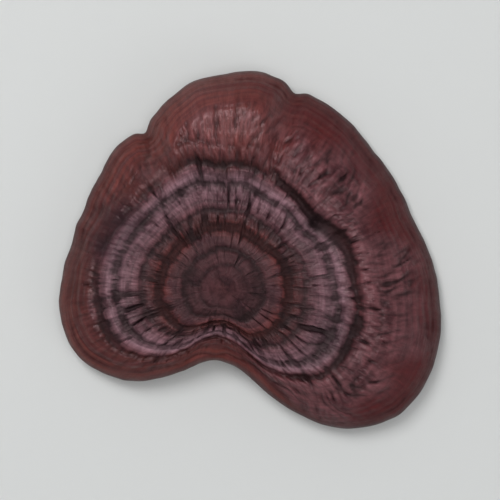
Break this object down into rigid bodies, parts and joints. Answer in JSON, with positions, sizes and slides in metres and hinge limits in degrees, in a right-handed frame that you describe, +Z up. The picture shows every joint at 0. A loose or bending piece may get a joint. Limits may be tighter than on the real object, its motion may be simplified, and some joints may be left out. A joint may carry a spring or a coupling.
{
  "type": "reishi mushroom",
  "caption": "Whole dried reishi cap, kidney-shaped and lobed, with a lacquered, zoned and wrinkled top, lying on its pore side and the cut end of its short stem.",
  "frame": {"origin": "on the table, under the middle of the mushroom's bounding box, level with the cut end of the stem", "axes": "+Z up, out of the lacquered top; +Y towards the front, the growing margin opposite the stem; +X to the right, along the cap's greatest width"},
  "size_m": [0.0874, 0.0818, 0.0179],
  "materials": {
    "lacquered_crust": "semi-gloss natural lacquer over a corky body: maroon-brown outer zone, dark purple-brown inner zones, pale tan pore side"
  },
  "bodies": {
    "root": {"reishi_mushroom": "lacquered_crust"}
  },
  "joints": []
}
